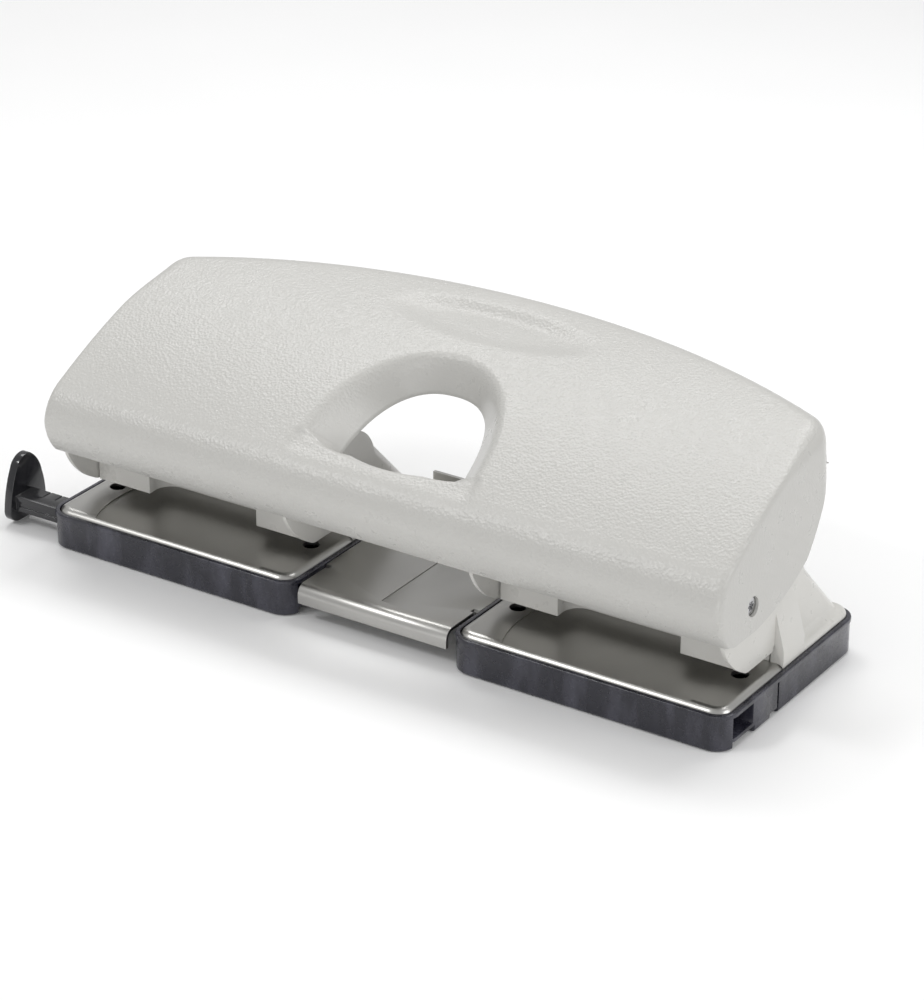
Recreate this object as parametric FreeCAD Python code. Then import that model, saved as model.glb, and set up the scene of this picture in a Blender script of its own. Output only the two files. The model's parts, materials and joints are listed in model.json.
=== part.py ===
import FreeCAD, Part
import math
import os

# Four-hole desk punch: two two-hole units side by side under one wide lever.
# Frame: X along the lever, Y from the paper side (-) to the rear (+), Z up from the desk.
# Everything is drawn about a point midway between the two units, at the middle of the base
# depth, on the desk. On export the origin moves to the middle of the whole outline.

V = FreeCAD.Vector

# ---- driving dimensions, mm -------------------------------------------------
HOLE_PITCH = 80.0            # between neighbouring punched holes
UNIT_X = {"left": -HOLE_PITCH, "right": HOLE_PITCH}
PIN_OFFSET = HOLE_PITCH / 2  # punch pin from its unit's centre
PIN_R = 2.75
RUN_FIT = 0.05               # radial clearance of pins in their guides
PIVOT_R = 2.5
PIVOT_HEAD = 2.2             # the head stands this far out of the side plate
PIVOT_HOLE_R = 3.2           # holes in the lever cover's ends

TRAY_L, TRAY_W, TRAY_H = 100.0, 84.8, 12.4
TRAY_R = 7.35
RIM_T = 1.5                  # tray wall above the plate ledge
WALL_T = 2.8                 # tray wall below the plate ledge
LIP = 0.35                   # the rim stands out this far from the wall
LIP_H = 1.5
LEDGE_Z = 10.5

PLATE_TOP = 13.6
PLATE_T = 1.5
PLATE_GAP = 0.1
PLATE_ROLL = 3.0             # radius of the plate's rounded edge
FIELD_STEP = 0.35            # the paper field lies this much below the plate's ends

THROAT_TOP = 17.9            # upper side of the paper slot
STOP_Y = -4.5                # paper edge meets the stop here
PIN_Y = STOP_Y - 12.0
SHEET = 1.3                  # chassis sheet
CHASSIS_HALF = 45.1          # outer face of a side plate from the unit's centre

PIVOT_Y, PIVOT_Z = -25.0, 42.7
HANDLE_SHEET = 1.0
HANDLE_HALF = 128.75         # at END_REF_Z, less end draft above it
END_REF_Z = 35.0
END_DRAFT = 0.08
FRONT_Y = -44.6              # foremost line of the lever's nose
REAR_Y, REAR_R = 53.2, 318.0  # the lever's rear edge is an arc in plan
REAR_ROUND = 7.5
LEVER_T = 1.1
LEVER_GAP = 0.3

DECK_TOP = 35.5              # upper guide deck
DECK_T = 1.2
TIP_Z = THROAT_TOP + 0.2
PRESS_Z = 46.3               # underside of the press plate

BRIDGE_TOP, BRIDGE_T = 12.0, 1.2


# ---- outline helpers --------------------------------------------------------
def on_yz(x):
    return lambda a, b: V(x, a, b)


def on_xy(z):
    return lambda a, b: V(a, b, z)


def on_xz(y):
    return lambda a, b: V(a, y, b)


def outline(place, start, *steps):
    """A closed face. A step is the next corner, or (a point passed, the next corner) for an arc."""
    edges = []
    here = start
    for step in steps + (start,):
        if isinstance(step[0], tuple):
            through, there = step
            edges.append(Part.Arc(place(*here), place(*through), place(*there)).toShape())
        else:
            there = step
            if math.dist(here, there) > 1e-6:
                edges.append(Part.LineSegment(place(*here), place(*there)).toShape())
        here = there
    return Part.Face(Part.Wire(edges))


def box(x0, x1, y0, y1, z0, z1):
    return Part.makeBox(x1 - x0, y1 - y0, z1 - z0, V(x0, y0, z0))


def rod(radius, start, direction, length):
    return Part.makeCylinder(radius, length, start, direction)


def fillet(shape, radius, wanted):
    edges = [edge for edge in shape.Edges if wanted(edge)]
    return shape.makeFillet(radius, edges)


def rounded_box(x0, x1, y0, y1, z0, z1, radius):
    """A box with rounded upright corners."""
    return fillet(box(x0, x1, y0, y1, z0, z1), radius, is_upright)


def is_upright(edge):
    ends = [vertex.Point for vertex in edge.Vertexes]
    return len(ends) == 2 and abs(ends[0].x - ends[1].x) < 1e-6 and abs(ends[0].y - ends[1].y) < 1e-6


def at_height(z):
    return lambda edge: edge.BoundBox.ZMax - edge.BoundBox.ZMin < 1e-4 and abs(edge.BoundBox.ZMin - z) < 1e-4


def fuse(first, *others):
    return first.multiFuse(list(others)).removeSplitter()


def cut(body, *tools):
    for tool in tools:
        body = body.cut(tool)
    return body


def pin_positions(cx):
    return [cx - PIN_OFFSET, cx + PIN_OFFSET]


# ---- base: chip trays, doors, base plates, bridge ---------------------------
CHANNEL = (-37.0, -25.0)     # the guide rail's channel across the tray, in Y
CHANNEL_FLOOR = 3.6
CHANNEL_TOP = 10.6
DOOR_Y = (-23.4, 38.8)
DOOR_PIVOT_Y, DOOR_PIVOT_Z = 34.6, 3.4
DOOR_PEG_R = 1.2
TONGUE_Y = (2.0, 36.0)       # the bridge's tongues under the base plates, in Y
TONGUE_END = 43.5


def chip_tray(cx):
    """Frame of smoky plastic: rounded walls, a ledge for the base plate and a channel for the rail."""
    x0, x1 = cx - TRAY_L / 2, cx + TRAY_L / 2
    y1 = TRAY_W / 2
    y0 = -y1
    rim = rounded_box(x0, x1, y0, y1, TRAY_H - LIP_H, TRAY_H, TRAY_R)
    wall = rounded_box(x0 + LIP, x1 - LIP, y0 + LIP, y1 - LIP, 0, TRAY_H - LIP_H, TRAY_R - LIP)
    wall = fillet(wall, 0.8, at_height(0))
    rim = fillet(rim, 0.5, at_height(TRAY_H))
    mouth = rounded_box(x0 + RIM_T, x1 - RIM_T, y0 + RIM_T, y1 - RIM_T, LEDGE_Z, TRAY_H + 1, TRAY_R - RIM_T)
    hollow = rounded_box(x0 + WALL_T, x1 - WALL_T, y0 + WALL_T, y1 - WALL_T, -1, LEDGE_Z + 1, TRAY_R - WALL_T)
    tray = cut(fuse(rim, wall), mouth, hollow)
    floor = box(x0 + 2.6, x1 - 2.6, y0 + 2.6, CHANNEL[1] + 1.2, CHANNEL_FLOOR - 1.2, CHANNEL_FLOOR)
    partition = box(x0 + 1.5, x1 - 1.5, CHANNEL[1], CHANNEL[1] + 1.2, CHANNEL_FLOOR - 1.2, LEDGE_Z)
    tray = fuse(tray, floor, partition)
    for end in (x0, x1):
        span = (end - 4.0, end + 4.0)
        tray = tray.cut(box(*span, *CHANNEL, CHANNEL_FLOOR, CHANNEL_TOP))
        tray = tray.cut(box(*span, CHANNEL[0], CHANNEL[1] + 1.2, -1, CHANNEL_FLOOR - 1.2))
        tray = tray.cut(box(*span, -14.6, -10.0, -1, 1.8))
        tray = tray.cut(box(*span, -10.0, -9.1, -1, TRAY_H - LIP_H))
        inward = rod(DOOR_PEG_R + 0.1, V(end - 4.0, DOOR_PIVOT_Y, DOOR_PIVOT_Z), V(1, 0, 0), 8.0)
        blind = box(end - 1.2, end + 1.2, DOOR_PIVOT_Y - 3, DOOR_PIVOT_Y + 3, 0, 8)
        tray = tray.cut(inward.cut(blind))
    inner_end = x1 if cx < 0 else x0
    return tray.cut(tongue_notch(inner_end, 4.0, BRIDGE_TOP - 1.4, TRAY_H + 1))


def tongue_notch(end, reach, low, high):
    """Room for the bridge's tongue at the inner end of a tray or a plate."""
    return box(end - reach, end + reach, TONGUE_Y[0] - 0.2, TONGUE_Y[1] + 0.2, low, high)


def tray_door(cx):
    """Flap that closes the chip space from below, hung on two pegs at its rear."""
    half = TRAY_L / 2 - WALL_T - 0.4
    panel = box(cx - half, cx + half, *DOOR_Y, 1.4, 2.8)
    panel = fillet(panel, 4.6, is_upright)
    hinge = rod(2.0, V(cx - half + 2.6, DOOR_PIVOT_Y, DOOR_PIVOT_Z), V(1, 0, 0), 2 * half - 5.2)
    pegs = rod(DOOR_PEG_R, V(cx - half - 1.8, DOOR_PIVOT_Y, DOOR_PIVOT_Z), V(1, 0, 0), 2 * half + 3.6)
    latch = box(cx - 12, cx + 12, DOOR_Y[0], DOOR_Y[0] + 1.4, 1.4, 6.0)
    ribs = [box(cx + x - 0.6, cx + x + 0.6, DOOR_Y[0] + 4, DOOR_PIVOT_Y - 4, 2.6, 3.8) for x in (-30, 0, 30)]
    return fuse(panel, hinge, pegs, latch, *ribs)


def base_plate(cx):
    """Steel pan with a turned-down rounded edge, a lower paper field and two die holes."""
    half_x = TRAY_L / 2 - RIM_T - PLATE_GAP
    half_y = TRAY_W / 2 - RIM_T - PLATE_GAP
    corner = TRAY_R - RIM_T - PLATE_GAP
    pan = rounded_box(cx - half_x, cx + half_x, -half_y, half_y, LEDGE_Z, PLATE_TOP, corner)
    field = outline(on_xy(PLATE_TOP - FIELD_STEP), (cx - 31.5, -39.2), (cx + 35.6, -39.2),
                    (cx + 35.6, STOP_Y - 0.6), (cx - 31.5, STOP_Y - 0.6), ((cx - 35.0, -20.0), (cx - 31.5, -39.2)))
    pan = fillet(pan, PLATE_ROLL, at_height(PLATE_TOP))
    pan = pan.cut(field.extrude(V(0, 0, 2)))
    inner = rounded_box(cx - half_x + PLATE_T, cx + half_x - PLATE_T, -half_y + PLATE_T, half_y - PLATE_T,
                        LEDGE_Z - 1, PLATE_TOP - PLATE_T, corner - PLATE_T)
    pan = pan.cut(inner)
    for x in pin_positions(cx):
        pan = pan.cut(rod(PIN_R + RUN_FIT, V(x, PIN_Y, LEDGE_Z - 1), V(0, 0, 1), 5))
    for x, y in rivet_places(cx):
        pan = pan.cut(rod(RIVET_R, V(x, y, LEDGE_Z - 1), V(0, 0, 1), 5))
    inner_end = cx + half_x if cx < 0 else cx - half_x
    return pan.cut(tongue_notch(inner_end, 2.5, LEDGE_Z - 1, BRIDGE_TOP + 0.1))


FOOT_X = 40.2                # rivets of the chassis feet, from the unit's centre
FOOT_Y = (13.0, 31.0)
RIVET_R = 1.5


def rivet_places(cx):
    """Rivets of one unit: the outer pair, then the inner pair that also holds the bridge."""
    outward = -1 if cx < 0 else 1
    return [(cx + side * outward * FOOT_X, y) for side in (1, -1) for y in FOOT_Y]


def rivet(x, y, low, high):
    """Shank with a low round head above and a flat head below."""
    shank = rod(RIVET_R, V(x, y, low), V(0, 0, 1), high - low)
    head = rod(2.8, V(x, y, high), V(0, 0, 1), 1.0)
    head = fillet(head, 0.7, at_height(high + 1.0))
    tail = rod(2.5, V(x, y, low - 0.7), V(0, 0, 1), 0.7)
    return fuse(shank, head, tail)


def bridge_plate():
    """Sheet between the trays: rolled front, upturned rear, tongues under the base plates."""
    half_front, half_rear = 28.5, 29.7
    front_y, rear_y, low = -40.2, 40.8, 5.7
    top = BRIDGE_TOP
    under = top - BRIDGE_T
    section = outline(on_yz(-half_rear), (front_y, low), (front_y, top - 3.5),
                      ((front_y + 1.025, top - 1.025), (front_y + 3.5, top)),
                      (rear_y - 3.2, top),
                      ((rear_y - 1.786, top + 0.586), (rear_y - 1.2, top + 2.0)),
                      (rear_y - 1.2, 20.6), (rear_y, 20.6), (rear_y, top + 2.0),
                      ((rear_y - 0.937, under + 0.937), (rear_y - 3.2, under)),
                      (front_y + 3.5, under),
                      ((front_y + 1.874, under - 0.674), (front_y + 1.2, top - 3.5)),
                      (front_y + 1.2, low))
    sheet = section.extrude(V(2 * half_rear, 0, 0))
    for side in (-1, 1):
        inner, outer = sorted((side * half_front, side * (half_rear + 1)))
        sheet = sheet.cut(box(inner, outer, -50, -24, 0, 20))
        sheet = sheet.cut(box(*sorted((side * (half_front - 1.2), side * (half_rear + 1))), -24.6, -22.6, 0, 20))
    tongues = [box(*sorted((side * (half_rear - 1), side * TONGUE_END)), *TONGUE_Y, under, top) for side in (-1, 1)]
    sheet = fuse(sheet, *tongues)
    for cx in UNIT_X.values():
        for x, y in rivet_places(cx)[2:]:
            sheet = sheet.cut(rod(RIVET_R, V(x, y, under - 1), V(0, 0, 1), 4))
    centre_mark = box(-0.3, 0.3, -34.0, 30.0, top - 0.35, top + 1)
    return sheet.cut(centre_mark)


# ---- chassis ----------------------------------------------------------------
def side_outline(x):
    """Side plate: lead-in curve, paper slot, foot, sloped rear edge and a round top at the pivot."""
    return outline(on_yz(x), (STOP_Y, PLATE_TOP), (39.0, PLATE_TOP), (10.6, 42.6),
                   ((7.0, 46.3), (2.0, 48.6)),
                   ((-1.0, 49.6), (-4.0, 50.0)), (-27.0, 50.0),
                   ((-34.0, 47.0), (-36.8, 39.5)), (-36.8, 32.4),
                   ((-32.2, 25.4), (-24.0, 19.0)), ((-22.2, 18.1), (-20.0, THROAT_TOP)),
                   (STOP_Y - 0.8, THROAT_TOP), (STOP_Y - 0.8, THROAT_TOP + 1.8), (STOP_Y, THROAT_TOP + 1.8))


FOOT_START = 9.6             # the feet begin here, behind the tabs beside the paper slot
CORNER_Y = TRAY_W / 2 - TRAY_R
CORNER_IN = TRAY_R - (TRAY_L / 2 - CHASSIS_HALF)   # corner centre of tray and foot, inwards from the side plate


def foot_section(wall, side, y, *upper):
    """Section of a foot or tab that bends over the base plate's rounded edge; upper points close it."""
    def place(out, z):
        return V(wall + side * out, y, PLATE_TOP + z)

    return outline(place, (-0.5, 0), (0.9, 0), ((2.0, -0.18), (3.1, -1.2)), (3.25, -1.0), *upper)


def chassis_feet(cx):
    """Flared tabs beside the paper slot, and a foot that runs round the rear of the unit."""
    parts = []
    low_top = (((2.75, 0.4), (1.5, 1.1)), (-0.5, 1.1))
    bent_top = (((2.75, 0.4), (1.5, 1.1)), ((0.45, 2.1), (0.0, 4.0)), (-0.5, 4.0))
    bend_end = outline(on_yz(cx - 60), (34.5, PLATE_TOP + 1.1), (60, PLATE_TOP + 1.1), (60, 30), (19.6, 30))
    for side in (-1, 1):
        wall = cx + side * CHASSIS_HALF
        tab = foot_section(wall, side, STOP_Y, (3.25, 4.6), (0.0, 17.0), (-0.5, 17.0))
        parts.append(tab.extrude(V(0, FOOT_START - 0.8 - STOP_Y, 0)))
        straight = foot_section(wall, side, FOOT_START - 0.8, *bent_top)
        straight = straight.extrude(V(0, CORNER_Y - FOOT_START + 0.8, 0))
        parts.append(straight.cut(bend_end.extrude(V(120, 0, 0))))
        turning = foot_section(wall, side, CORNER_Y, *low_top)
        corner = V(wall - side * CORNER_IN, CORNER_Y, 0)
        parts.append(turning.revolve(corner, V(0, 0, 1), 90 * side))
        inner = wall - side * SHEET
        parts.append(box(*sorted((inner, inner - side * 8.0)), FOOT_START, 36.0, PLATE_TOP, PLATE_TOP + SHEET))
    turning.rotate(corner, V(0, 0, 1), 90)
    parts.append(turning.extrude(V(-2 * (CHASSIS_HALF - CORNER_IN), 0, 0)))
    return parts


def chassis(cx):
    """Side plates with a sloped rear wall bent from one sheet, foot flanges and pivot holes."""
    low, high = cx - CHASSIS_HALF, cx + CHASSIS_HALF
    body = side_outline(low).extrude(V(2 * CHASSIS_HALF, 0, 0))
    rear_edges = [edge for edge in body.Edges
                  if edge.BoundBox.XLength < 1e-4 and edge.BoundBox.YMin > 10 and edge.BoundBox.ZLength > 20]
    body = body.makeFillet(3.0, rear_edges)
    slope = SHEET * math.sqrt(2)
    inside = outline(on_yz(low + SHEET), (-60, 0), (39.0 - slope + 13.6, 0), (10.6 - slope, 42.6), (10.6, 44.2),
                     (20, 60), (-60, 60))
    body = body.cut(inside.extrude(V(2 * (CHASSIS_HALF - SHEET), 0, 0)))
    body = fuse(body, *chassis_feet(cx))
    body = body.cut(box(low - 4, high + 4, FOOT_START - 0.8, FOOT_START, PLATE_TOP + 2.6, PLATE_TOP + 5.0))
    body = body.cut(rod(PIVOT_R, V(low - 1, PIVOT_Y, PIVOT_Z), V(1, 0, 0), 2 * CHASSIS_HALF + 2))
    for x, y in rivet_places(cx):
        body = body.cut(rod(RIVET_R, V(x, y, PLATE_TOP - 1), V(0, 0, 1), 4))
    return body


def carrier_plan(cx, z, inset, reach):
    """Plan of the punch carrier: forward at both pins and set back between them."""
    front, back, mid = -22.0 + inset, STOP_Y + 1.2 - inset, -12.8 + inset
    wing, bay = 22.0 + inset, 16.0 + inset
    return outline(on_xy(z), (cx - reach, front), (cx - wing, front), (cx - wing, front + 2.8),
                   ((cx - bay - 4.6, mid - 2.0), (cx - bay, mid)), (cx + bay, mid),
                   ((cx + bay + 4.6, mid - 2.0), (cx + wing, front + 2.8)), (cx + wing, front),
                   (cx + reach, front), (cx + reach, back), (cx - reach, back))


def punch_carrier(cx):
    """Formed sheet that guides the two pins in an upper and a lower deck and stops the paper."""
    half = 43.2
    block = carrier_plan(cx, THROAT_TOP, 0, half).extrude(V(0, 0, DECK_TOP - THROAT_TOP))
    hollow = carrier_plan(cx, THROAT_TOP + DECK_T, DECK_T, half + 1)
    block = block.cut(hollow.extrude(V(0, 0, DECK_TOP - THROAT_TOP - 2 * DECK_T)))
    stop = box(cx - half, cx + half, STOP_Y, STOP_Y + 1.2, PLATE_TOP + 0.05, THROAT_TOP + 1)
    welds = [box(*sorted((cx + side * (half - 0.5), cx + side * (CHASSIS_HALF - SHEET))),
                 -11.5, STOP_Y + 0.6, 20, DECK_TOP) for side in (-1, 1)]
    block = fuse(block, stop, *welds)
    for x in pin_positions(cx):
        block = block.cut(rod(PIN_R + RUN_FIT, V(x, PIN_Y, 10), V(0, 0, 1), 40))
    return block


# ---- pins, springs, pivots --------------------------------------------------
CLIP_Z = 33.0
SPRING_WIRE_R = 0.4
SPRING_R = 3.3
SPRING_TURNS = 6


def punch_pin(x):
    """Hardened pin: hollow-ground cutting tip below, ball end under the press plate."""
    top = PRESS_Z - 0.3
    stem = rod(PIN_R, V(x, PIN_Y, TIP_Z), V(0, 0, 1), top - PIN_R - TIP_Z)
    ball = Part.makeSphere(PIN_R, V(x, PIN_Y, top - PIN_R))
    pin = fuse(stem, ball)
    notch = rod(7.0, V(x - 5, PIN_Y, TIP_Z - 6.4), V(1, 0, 0), 10)
    return pin.cut(notch)


def pin_clip(x):
    """Snap ring on the pin that carries the return spring."""
    ring = rod(3.5, V(x, PIN_Y, CLIP_Z), V(0, 0, 1), 1.0)
    ring = ring.cut(rod(PIN_R, V(x, PIN_Y, CLIP_Z - 1), V(0, 0, 1), 3))
    return ring.cut(box(x - 0.9, x + 0.9, PIN_Y, PIN_Y + 6, CLIP_Z - 1, CLIP_Z + 2))


def return_spring(x):
    """Compression spring between the lower deck and the clip."""
    low = THROAT_TOP + DECK_T + SPRING_WIRE_R + 0.05
    high = CLIP_Z - SPRING_WIRE_R - 0.05
    helix = Part.makeHelix((high - low) / SPRING_TURNS, high - low, SPRING_R)
    wire = Part.Wire([Part.makeCircle(SPRING_WIRE_R, V(SPRING_R, 0, 0), V(0, 1, 0))])
    coil = Part.Wire(helix.Edges).makePipeShell([wire], True, True)
    coil.translate(V(x, PIN_Y, low))
    return coil


CLIP_X = SHEET + LEVER_GAP + LEVER_T + 0.35   # clip's near face from the side plate's outer face


def pivot_pin(wall, outward):
    """Pin through a side plate and the lever's ear, with a star socket in its head."""
    direction = V(-outward, 0, 0)
    face = wall + outward * PIVOT_HEAD
    shank = rod(PIVOT_R, V(wall, PIVOT_Y, PIVOT_Z), direction, CLIP_X + 1.2)
    head = rod(2.9, V(face, PIVOT_Y, PIVOT_Z), direction, PIVOT_HEAD)
    head = fillet(head, 0.3, lambda edge: abs(edge.BoundBox.XMin - face) < 1e-4 and edge.BoundBox.XLength < 1e-4)
    pin = fuse(shank, head)
    pin = pin.cut(rod(1.1, V(face, PIVOT_Y, PIVOT_Z), direction, 0.8))
    for i in range(6):
        angle = math.radians(60 * i)
        centre = V(face, PIVOT_Y + 1.25 * math.cos(angle), PIVOT_Z + 1.25 * math.sin(angle))
        pin = pin.cut(rod(0.42, centre, direction, 0.8))
    groove = V(wall - outward * CLIP_X, PIVOT_Y, PIVOT_Z)
    return pin.cut(rod(PIVOT_R + 1, groove, direction, 0.6).cut(rod(2.0, groove, direction, 0.6)))


def pivot_clip(wall, outward):
    """Snap ring in the groove at the pin's inner end."""
    direction = V(-outward, 0, 0)
    x = wall - outward * CLIP_X
    ring = rod(3.2, V(x, PIVOT_Y, PIVOT_Z), direction, 0.6)
    ring = ring.cut(rod(2.0, V(x, PIVOT_Y, PIVOT_Z), direction, 0.6))
    mouth = box(*sorted((x + outward, x - 2 * outward)), PIVOT_Y - 6, PIVOT_Y, PIVOT_Z - 1.2, PIVOT_Z + 1.2)
    return ring.cut(mouth)


def side_walls():
    """Outer face and outward direction of the four side plates, left to right."""
    walls = []
    for cx in UNIT_X.values():
        walls += [(cx - CHASSIS_HALF, -1), (cx + CHASSIS_HALF, 1)]
    return walls


# ---- lever ------------------------------------------------------------------
FACE_SLOPE = math.radians(22.5)


def lever(cx):
    """Inner lever of one unit: two ears on the pivots, a press plate over the pins and a welded web."""
    half = CHASSIS_HALF - SHEET - LEVER_GAP
    ear_shape = outline(on_yz(cx - half), (-19.9, PIVOT_Z), (-19.9, PRESS_Z), (-12.0, PRESS_Z),
                        (-11.0, PRESS_Z + LEVER_T), (-6.0, 56.0), (-28.0, 56.0), (-30.5, 50.0), (-30.5, PIVOT_Z),
                        ((-25.2, PIVOT_Z - 5.3), (-19.9, PIVOT_Z)))
    ears = []
    for x in (cx - half, cx + half - LEVER_T):
        ear = ear_shape.copy()
        ear.translate(V(x - (cx - half), 0, 0))
        ears.append(ear.extrude(V(LEVER_T, 0, 0)))
    section = outline(on_yz(cx - half + 0.5), (-30.5, PRESS_Z), (-11.5, PRESS_Z), (-10.6, PRESS_Z + 0.6),
                      (-3.0, 70.6), (10.5, 76.6), (10.2, 77.7), (-4.2, 71.3), (-11.6, PRESS_Z + LEVER_T),
                      (-30.5, PRESS_Z + LEVER_T))
    web = section.extrude(V(2 * half - 1.0, 0, 0))
    body = fuse(web, *ears)
    return body.cut(rod(PIVOT_R + RUN_FIT, V(cx - half - 1, PIVOT_Y, PIVOT_Z), V(1, 0, 0), 2 * half + 2))


def handle_block(inset):
    """Outer form of the lever cover, or the same form moved inwards by inset."""
    profile = outline(on_yz(-140.0), (-38.0, 33.4), ((-42.5, 39.4), (FRONT_Y, 46.0)), ((-42.6, 53.2), (-36.2, 59.2)),
                      ((5.0, 78.0), (60.0, 88.8)), (60.0, 20.0), (-38.0, 20.0))
    if inset:
        profile = Part.Face(profile.OuterWire.makeOffset2D(-inset))
    block = profile.extrude(V(280.0, 0, 0))
    low, high = 15.0, 105.0
    half_low = HANDLE_HALF - inset - END_DRAFT * (low - END_REF_Z)
    half_high = HANDLE_HALF - inset - END_DRAFT * (high - END_REF_Z)
    ends = outline(on_xz(-80.0), (-half_low, low), (half_low, low), (half_high, high), (-half_high, high))
    block = block.common(ends.extrude(V(0, 160.0, 0)))
    radius, rear = REAR_R - inset, REAR_Y - inset
    plan = rod(radius, V(0, rear - radius, 0), V(0, 0, 1), 120.0)
    return block.common(plan)


def rear_top(edge):
    box_ = edge.BoundBox
    return box_.XLength > 200 and box_.YMin > 20 and box_.ZMin > 75


def end_corner(edge):
    box_ = edge.BoundBox
    return box_.XLength < 8 and box_.YLength < 4 and box_.ZLength > 40 and box_.YMin > 15


def handle_form(inset):
    block = handle_block(inset)
    return fillet(block, REAR_ROUND - inset, lambda edge: end_corner(edge) or rear_top(edge))


def grip_face(depth, half, height, lip):
    """Outline of the grip opening on a plane parallel to the cover's face, depth below it."""
    centre = V(0, -12.0, 71.4)
    up = V(0, math.cos(FACE_SLOPE), math.sin(FACE_SLOPE))
    normal = V(0, -math.sin(FACE_SLOPE), math.cos(FACE_SLOPE))
    base = -20.0

    def point(x, y):
        return centre + V(x, 0, 0) + up * y - normal * depth

    def arch(angle):
        return point(half * math.cos(math.radians(angle)), base + height * math.sin(math.radians(angle)))

    curve = Part.BSplineCurve()
    curve.interpolate([arch(angle) for angle in range(0, 181, 20)])
    lower = Part.Arc(point(-half, base), point(0, base - lip), point(half, base)).toShape()
    return Part.Wire([curve.toShape(), lower])


def funnel(inset):
    """Solid form of the grip opening: wide at the face, narrower inside."""
    wires = [grip_face(-4.0, 34.5 - inset + 3.0, 45.2 - inset + 3.0, 5.5 - inset),
             grip_face(11.0, 34.5 - inset - 8.2, 45.2 - inset - 8.2, 5.5 - inset)]
    return Part.makeLoft(wires, True, True)


def handle_shell():
    """Deep-drawn cover with turned-down ends and rear, and a flanged grip opening."""
    outer = handle_form(0)
    shell = outer.cut(handle_form(HANDLE_SHEET))
    below = outline(on_yz(-150.0), (-60, 34.4), (-24.0, 34.4), ((-6.0, 38.2), (8.7, 44.3)),
                    ((17.2, 53.8), (24.0, 64.8)), ((26.4, 67.8), (30.0, 70.6)), (60, 75.6), (60, 0), (-60, 0))
    collar = funnel(0).common(outer)
    shell = fuse(shell, collar).cut(funnel(HANDLE_SHEET))
    shell = shell.cut(below.extrude(V(300, 0, 0)))
    for x in (-135.0, 120.0):
        shell = shell.cut(rod(PIVOT_HOLE_R, V(x, PIVOT_Y, PIVOT_Z), V(1, 0, 0), 15.0))
    return shell


# ---- paper guide ------------------------------------------------------------
FLAG_X = -148.5              # the flag's inner face: half the width of an A4 sheet laid lengthways
FLAG_T = 3.0
RAIL_Y = (-36.2, -27.0)
RAIL_Z = (4.9, 10.2)
RAIL_END = -39.0


def paper_guide():
    """Sliding rail with an upright D-shaped flag that the paper's side edge meets."""
    rail = box(FLAG_X - 0.5, RAIL_END, *RAIL_Y, *RAIL_Z)
    rail = rail.cut(box(FLAG_X + 1, RAIL_END + 1, RAIL_Y[0] - 1, RAIL_Y[0] + 0.7, 6.6, 8.6))
    rail = rail.cut(box(FLAG_X + 1, RAIL_END + 1, RAIL_Y[1] - 0.7, RAIL_Y[1] + 1, 6.6, 8.6))
    for i in range(9):
        x = FLAG_X + 8.0 + 5.0 * i
        rail = rail.cut(box(x - 0.25, x + 0.25, RAIL_Y[0] + 5.0, RAIL_Y[1] + 1, RAIL_Z[1] - 0.3, RAIL_Z[1] + 1))
    flag = outline(on_yz(FLAG_X - FLAG_T), (-34.8, 0.8), ((-38.0, 2.2), (-38.9, 5.6)), ((-37.6, 12.6), (-34.9, 19.6)),
                   ((-31.8, 23.0), (-27.6, 23.4)), ((-24.0, 19.8), (-21.9, 14.6)), ((-20.8, 9.6), (-20.6, 4.6)),
                   ((-22.0, 1.8), (-24.8, 0.8)))
    solid = flag.extrude(V(FLAG_T, 0, 0))
    web = flag.copy()
    web.scale(0.72, V(FLAG_X - FLAG_T, -29.0, 11.5))
    dish = web.extrude(V(0.9, 0, 0))
    return fuse(solid.cut(dish), rail)


# ---- the whole punch --------------------------------------------------------
def group(*solids):
    return Part.makeCompound(list(solids))


def rivets(places, low):
    """Rivets from below the clamped sheets up to the top of the chassis feet."""
    return group(*[rivet(x, y, low, PLATE_TOP + SHEET) for x, y in places])


def build():
    nodes = {"handle_shell": handle_shell(), "bridge_plate": bridge_plate(), "paper_guide": paper_guide()}
    for side, cx in UNIT_X.items():
        nodes[side + "_chip_tray"] = chip_tray(cx)
        nodes[side + "_tray_door"] = tray_door(cx)
        nodes[side + "_base_plate"] = base_plate(cx)
        nodes[side + "_chassis"] = chassis(cx)
        nodes[side + "_punch_carrier"] = punch_carrier(cx)
        nodes[side + "_lever"] = lever(cx)
        nodes[side + "_chassis_rivets"] = rivets(rivet_places(cx)[:2], PLATE_TOP - PLATE_T)
    inner = [place for cx in UNIT_X.values() for place in rivet_places(cx)[2:]]
    nodes["bridge_rivets"] = rivets(inner, BRIDGE_TOP - BRIDGE_T)
    pins = [x for cx in UNIT_X.values() for x in pin_positions(cx)]
    for number, x in enumerate(pins, 1):
        nodes["punch_pin_%d" % number] = punch_pin(x)
        nodes["pin_clip_%d" % number] = pin_clip(x)
        nodes["return_spring_%d" % number] = return_spring(x)
    for number, wall in enumerate(side_walls(), 1):
        nodes["pivot_pin_%d" % number] = pivot_pin(*wall)
    nodes["pivot_clips"] = group(*[pivot_clip(*wall) for wall in side_walls()])
    return nodes


# Middle of the outline: the guide's flag to the right tray, the lever's front to its rear edge
OUTLINE_X = ((FLAG_X - FLAG_T) + (UNIT_X["right"] + TRAY_L / 2)) / 2
OUTLINE_Y = (FRONT_Y + REAR_Y) / 2

os.makedirs("parts", exist_ok=True)
for name, shape in build().items():
    shape.translate(V(-OUTLINE_X, -OUTLINE_Y, 0))
    print(name, "valid" if shape.isValid() else "INVALID", "solids", len(shape.Solids), "volume", round(shape.Volume))
    shape.exportStep("parts/" + name + ".step")
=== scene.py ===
"""Looks of the hole punch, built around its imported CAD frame.

Forms are worked out in millimetres about the middle of the two trays and stored in metres.
X runs along the lever cover, -Y is the paper side.
"""

import json
import math

import bmesh
import bpy
import numpy as np
from mathutils import Matrix, Vector

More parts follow.
